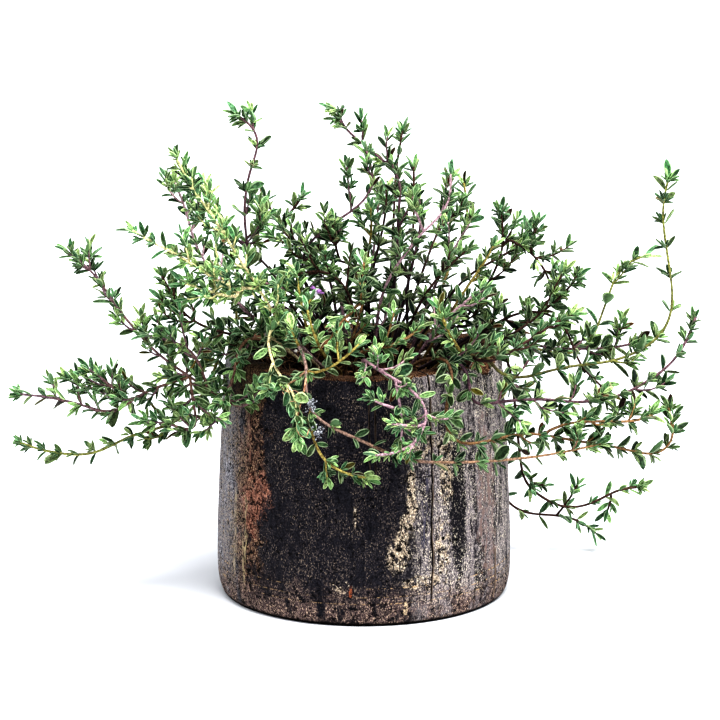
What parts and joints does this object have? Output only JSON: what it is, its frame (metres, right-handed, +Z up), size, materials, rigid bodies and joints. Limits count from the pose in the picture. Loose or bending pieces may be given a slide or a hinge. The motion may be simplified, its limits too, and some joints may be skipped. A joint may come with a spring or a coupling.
{
  "type": "potted thyme",
  "caption": "Young thyme with long trailing leafy stems and a small purple flower, growing in soil in an old turned wooden pot.",
  "frame": {"origin": "centre of the pot's flat underside, on the surface that it stands on", "axes": "+Z up along the pot's axis; the side that faces the viewer is -Y, and the longest sprigs reach along X"},
  "size_m": [0.3019, 0.1918, 0.2206],
  "materials": {
    "old_wood": "old turned log, blackened patina with worn brown and grey patches, cracks and scribed lines; satin to matt",
    "potting_mix": "dark brown damp crumbs with fibres and a few white perlite bits, matt",
    "thyme_green": "small dark green leaves with paler undersides and margins, on purple-brown to yellow square stems; satin",
    "petal": "soft purple petals, matt"
  },
  "bodies": {
    "root": {"bloom": "petal", "pot": "old_wood", "soil": "potting_mix", "sprig_arch_high": "thyme_green", "sprig_arch_low": "thyme_green", "sprig_behind_1": "thyme_green", "sprig_behind_10": "thyme_green", "sprig_behind_2": "thyme_green", "sprig_behind_3": "thyme_green", "sprig_behind_4": "thyme_green", "sprig_behind_5": "thyme_green", "sprig_behind_6": "thyme_green", "sprig_behind_7": "thyme_green", "sprig_behind_8": "thyme_green", "sprig_behind_9": "thyme_green", "sprig_crown_a": "thyme_green", "sprig_crown_b": "thyme_green", "sprig_crown_c": "thyme_green", "sprig_crown_d": "thyme_green", "sprig_crown_e": "thyme_green", "sprig_crown_f": "thyme_green", "sprig_crown_g": "thyme_green", "sprig_crown_h": "thyme_green", "sprig_crown_i": "thyme_green", "sprig_crown_leaning": "thyme_green", "sprig_crown_right": "thyme_green", "sprig_crown_tall": "thyme_green", "sprig_far_high": "thyme_green", "sprig_far_middle": "thyme_green", "sprig_far_right": "thyme_green", "sprig_far_tall": "thyme_green", "sprig_front_draping": "thyme_green", "sprig_front_left": "thyme_green", "sprig_front_long": "thyme_green", "sprig_front_middle": "thyme_green", "sprig_front_orange": "thyme_green", "sprig_front_pale": "thyme_green", "sprig_front_upright": "thyme_green", "sprig_left_bright": "thyme_green", "sprig_left_olive": "thyme_green", "sprig_left_slender": "thyme_green", "sprig_left_spreading": "thyme_green", "sprig_left_tall": "thyme_green", "sprig_left_trailing": "thyme_green", "sprig_right_arching": "thyme_green", "sprig_right_cut_back": "thyme_green", "sprig_right_drooping": "thyme_green", "sprig_right_level": "thyme_green", "sprig_right_long": "thyme_green", "sprig_right_low": "thyme_green", "sprig_right_tall": "thyme_green", "sprig_right_twig": "thyme_green", "sprig_right_woody": "thyme_green", "sprig_trailing_high": "thyme_green", "sprig_trailing_low": "thyme_green"}
  },
  "joints": []
}
